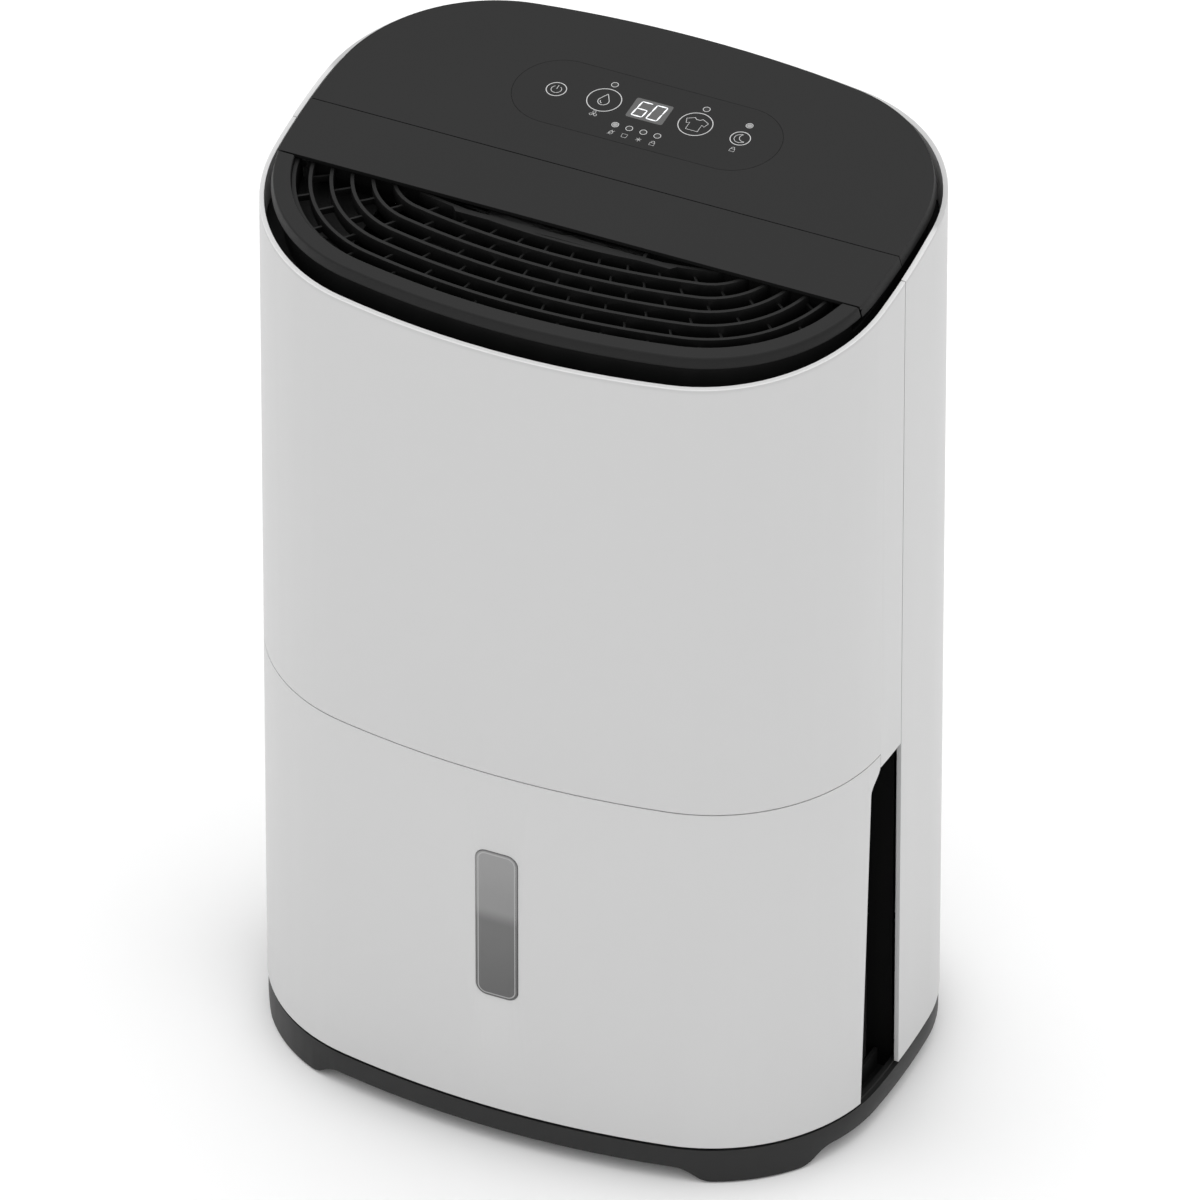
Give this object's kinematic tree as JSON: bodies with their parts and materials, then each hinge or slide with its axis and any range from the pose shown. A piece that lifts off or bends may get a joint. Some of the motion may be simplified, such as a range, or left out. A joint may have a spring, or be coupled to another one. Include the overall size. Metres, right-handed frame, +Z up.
{
  "type": "dehumidifier",
  "caption": "Free-standing compressor dehumidifier with a slide-out water tank, a top outlet grille, a touch panel and a pull-up carry handle.",
  "frame": {"origin": "on the floor, under the middle of the body plan", "axes": "+Z up, +Y towards the back with the air inlet, -Y towards the front with the level window"},
  "size_m": [0.34, 0.2544, 0.5352],
  "materials": {
    "white_plastic": "satin moulded plastic",
    "lid_plastic": "satin charcoal plastic",
    "black_plastic": "matte black plastic",
    "base_plastic": "satin dark grey plastic",
    "rubber": "matte rubber",
    "steel": "plain steel",
    "touch_panel": "smooth printed panel",
    "circuit_board": "solder-masked board",
    "display": "display face",
    "light_pipe": "clear light pipe",
    "window": "smoked clear plastic",
    "tank_plastic": "smoked tank plastic",
    "float_foam": "foam",
    "black_steel": "satin black paint",
    "copper": "copper tube",
    "fins": "fin pack",
    "filter_cloth": "fine mesh"
  },
  "bodies": {
    "housing": {"base_tray": "base_plastic", "foot_pads": "rubber", "base_screws": "steel", "front_cover": "white_plastic", "rear_cover": "white_plastic", "neck_frame": "black_plastic", "top_cover": "lid_plastic", "control_panel": "touch_panel", "control_board": "circuit_board", "display_module": "display", "indicator_lights": "light_pipe", "outlet_surround": "lid_plastic", "outlet_grille": "lid_plastic", "chassis": "black_plastic", "compressor_grommets": "rubber", "compressor": "black_steel", "compressor_nuts": "steel", "accumulator": "copper", "evaporator": "fins", "condenser": "fins", "drip_tray": "black_plastic", "fan_housing": "black_plastic", "fan_motor": "steel", "motor_screws": "steel", "intake_duct": "black_plastic", "discharge_pipe": "copper", "suction_pipe": "copper", "power_box": "black_plastic", "power_board": "circuit_board", "power_box_lid": "black_plastic", "level_switch": "black_plastic", "drain_spout": "black_plastic", "cable_gland": "black_plastic"},
    "water_tank": {"tank_front": "white_plastic", "tank_window": "window", "water_tank": "tank_plastic", "tank_lid": "tank_plastic", "float_pin": "steel"},
    "tank_float": {"tank_float": "float_foam"},
    "carry_handle": {"carry_handle": "lid_plastic"},
    "fan": {"fan_rotor": "black_plastic", "fan_shaft": "steel"},
    "inlet_filter": {"inlet_grille": "white_plastic", "filter_frame": "black_plastic", "filter_mesh": "filter_cloth"},
    "drain_plug": {"drain_plug": "rubber"}
  },
  "joints": [
    {"name": "tank_slide", "type": "slide", "parent": "housing", "child": "water_tank", "axis": [0, -1, 0], "range_m": [0, 0.15]},
    {"name": "float_hinge", "type": "hinge", "parent": "water_tank", "child": "tank_float", "pos_m": [0.11, -0.02, 0.178], "axis": [-1, 0, 0], "range_deg": [0, 14]},
    {"name": "handle_slide", "type": "slide", "parent": "housing", "child": "carry_handle", "axis": [0, -0.0847, 0.9964], "range_m": [0, 0.06]},
    {"name": "fan_spin", "type": "hinge", "parent": "housing", "child": "fan", "pos_m": [0, -0.06, 0.362], "axis": [0, 1, 0], "continuous": true},
    {"name": "filter_pull", "type": "slide", "parent": "housing", "child": "inlet_filter", "axis": [0, 1, 0], "range_m": [0, 0.05]},
    {"name": "plug_pull", "type": "slide", "parent": "housing", "child": "drain_plug", "axis": [0, 1, 0], "range_m": [0, 0.02]}
  ]
}
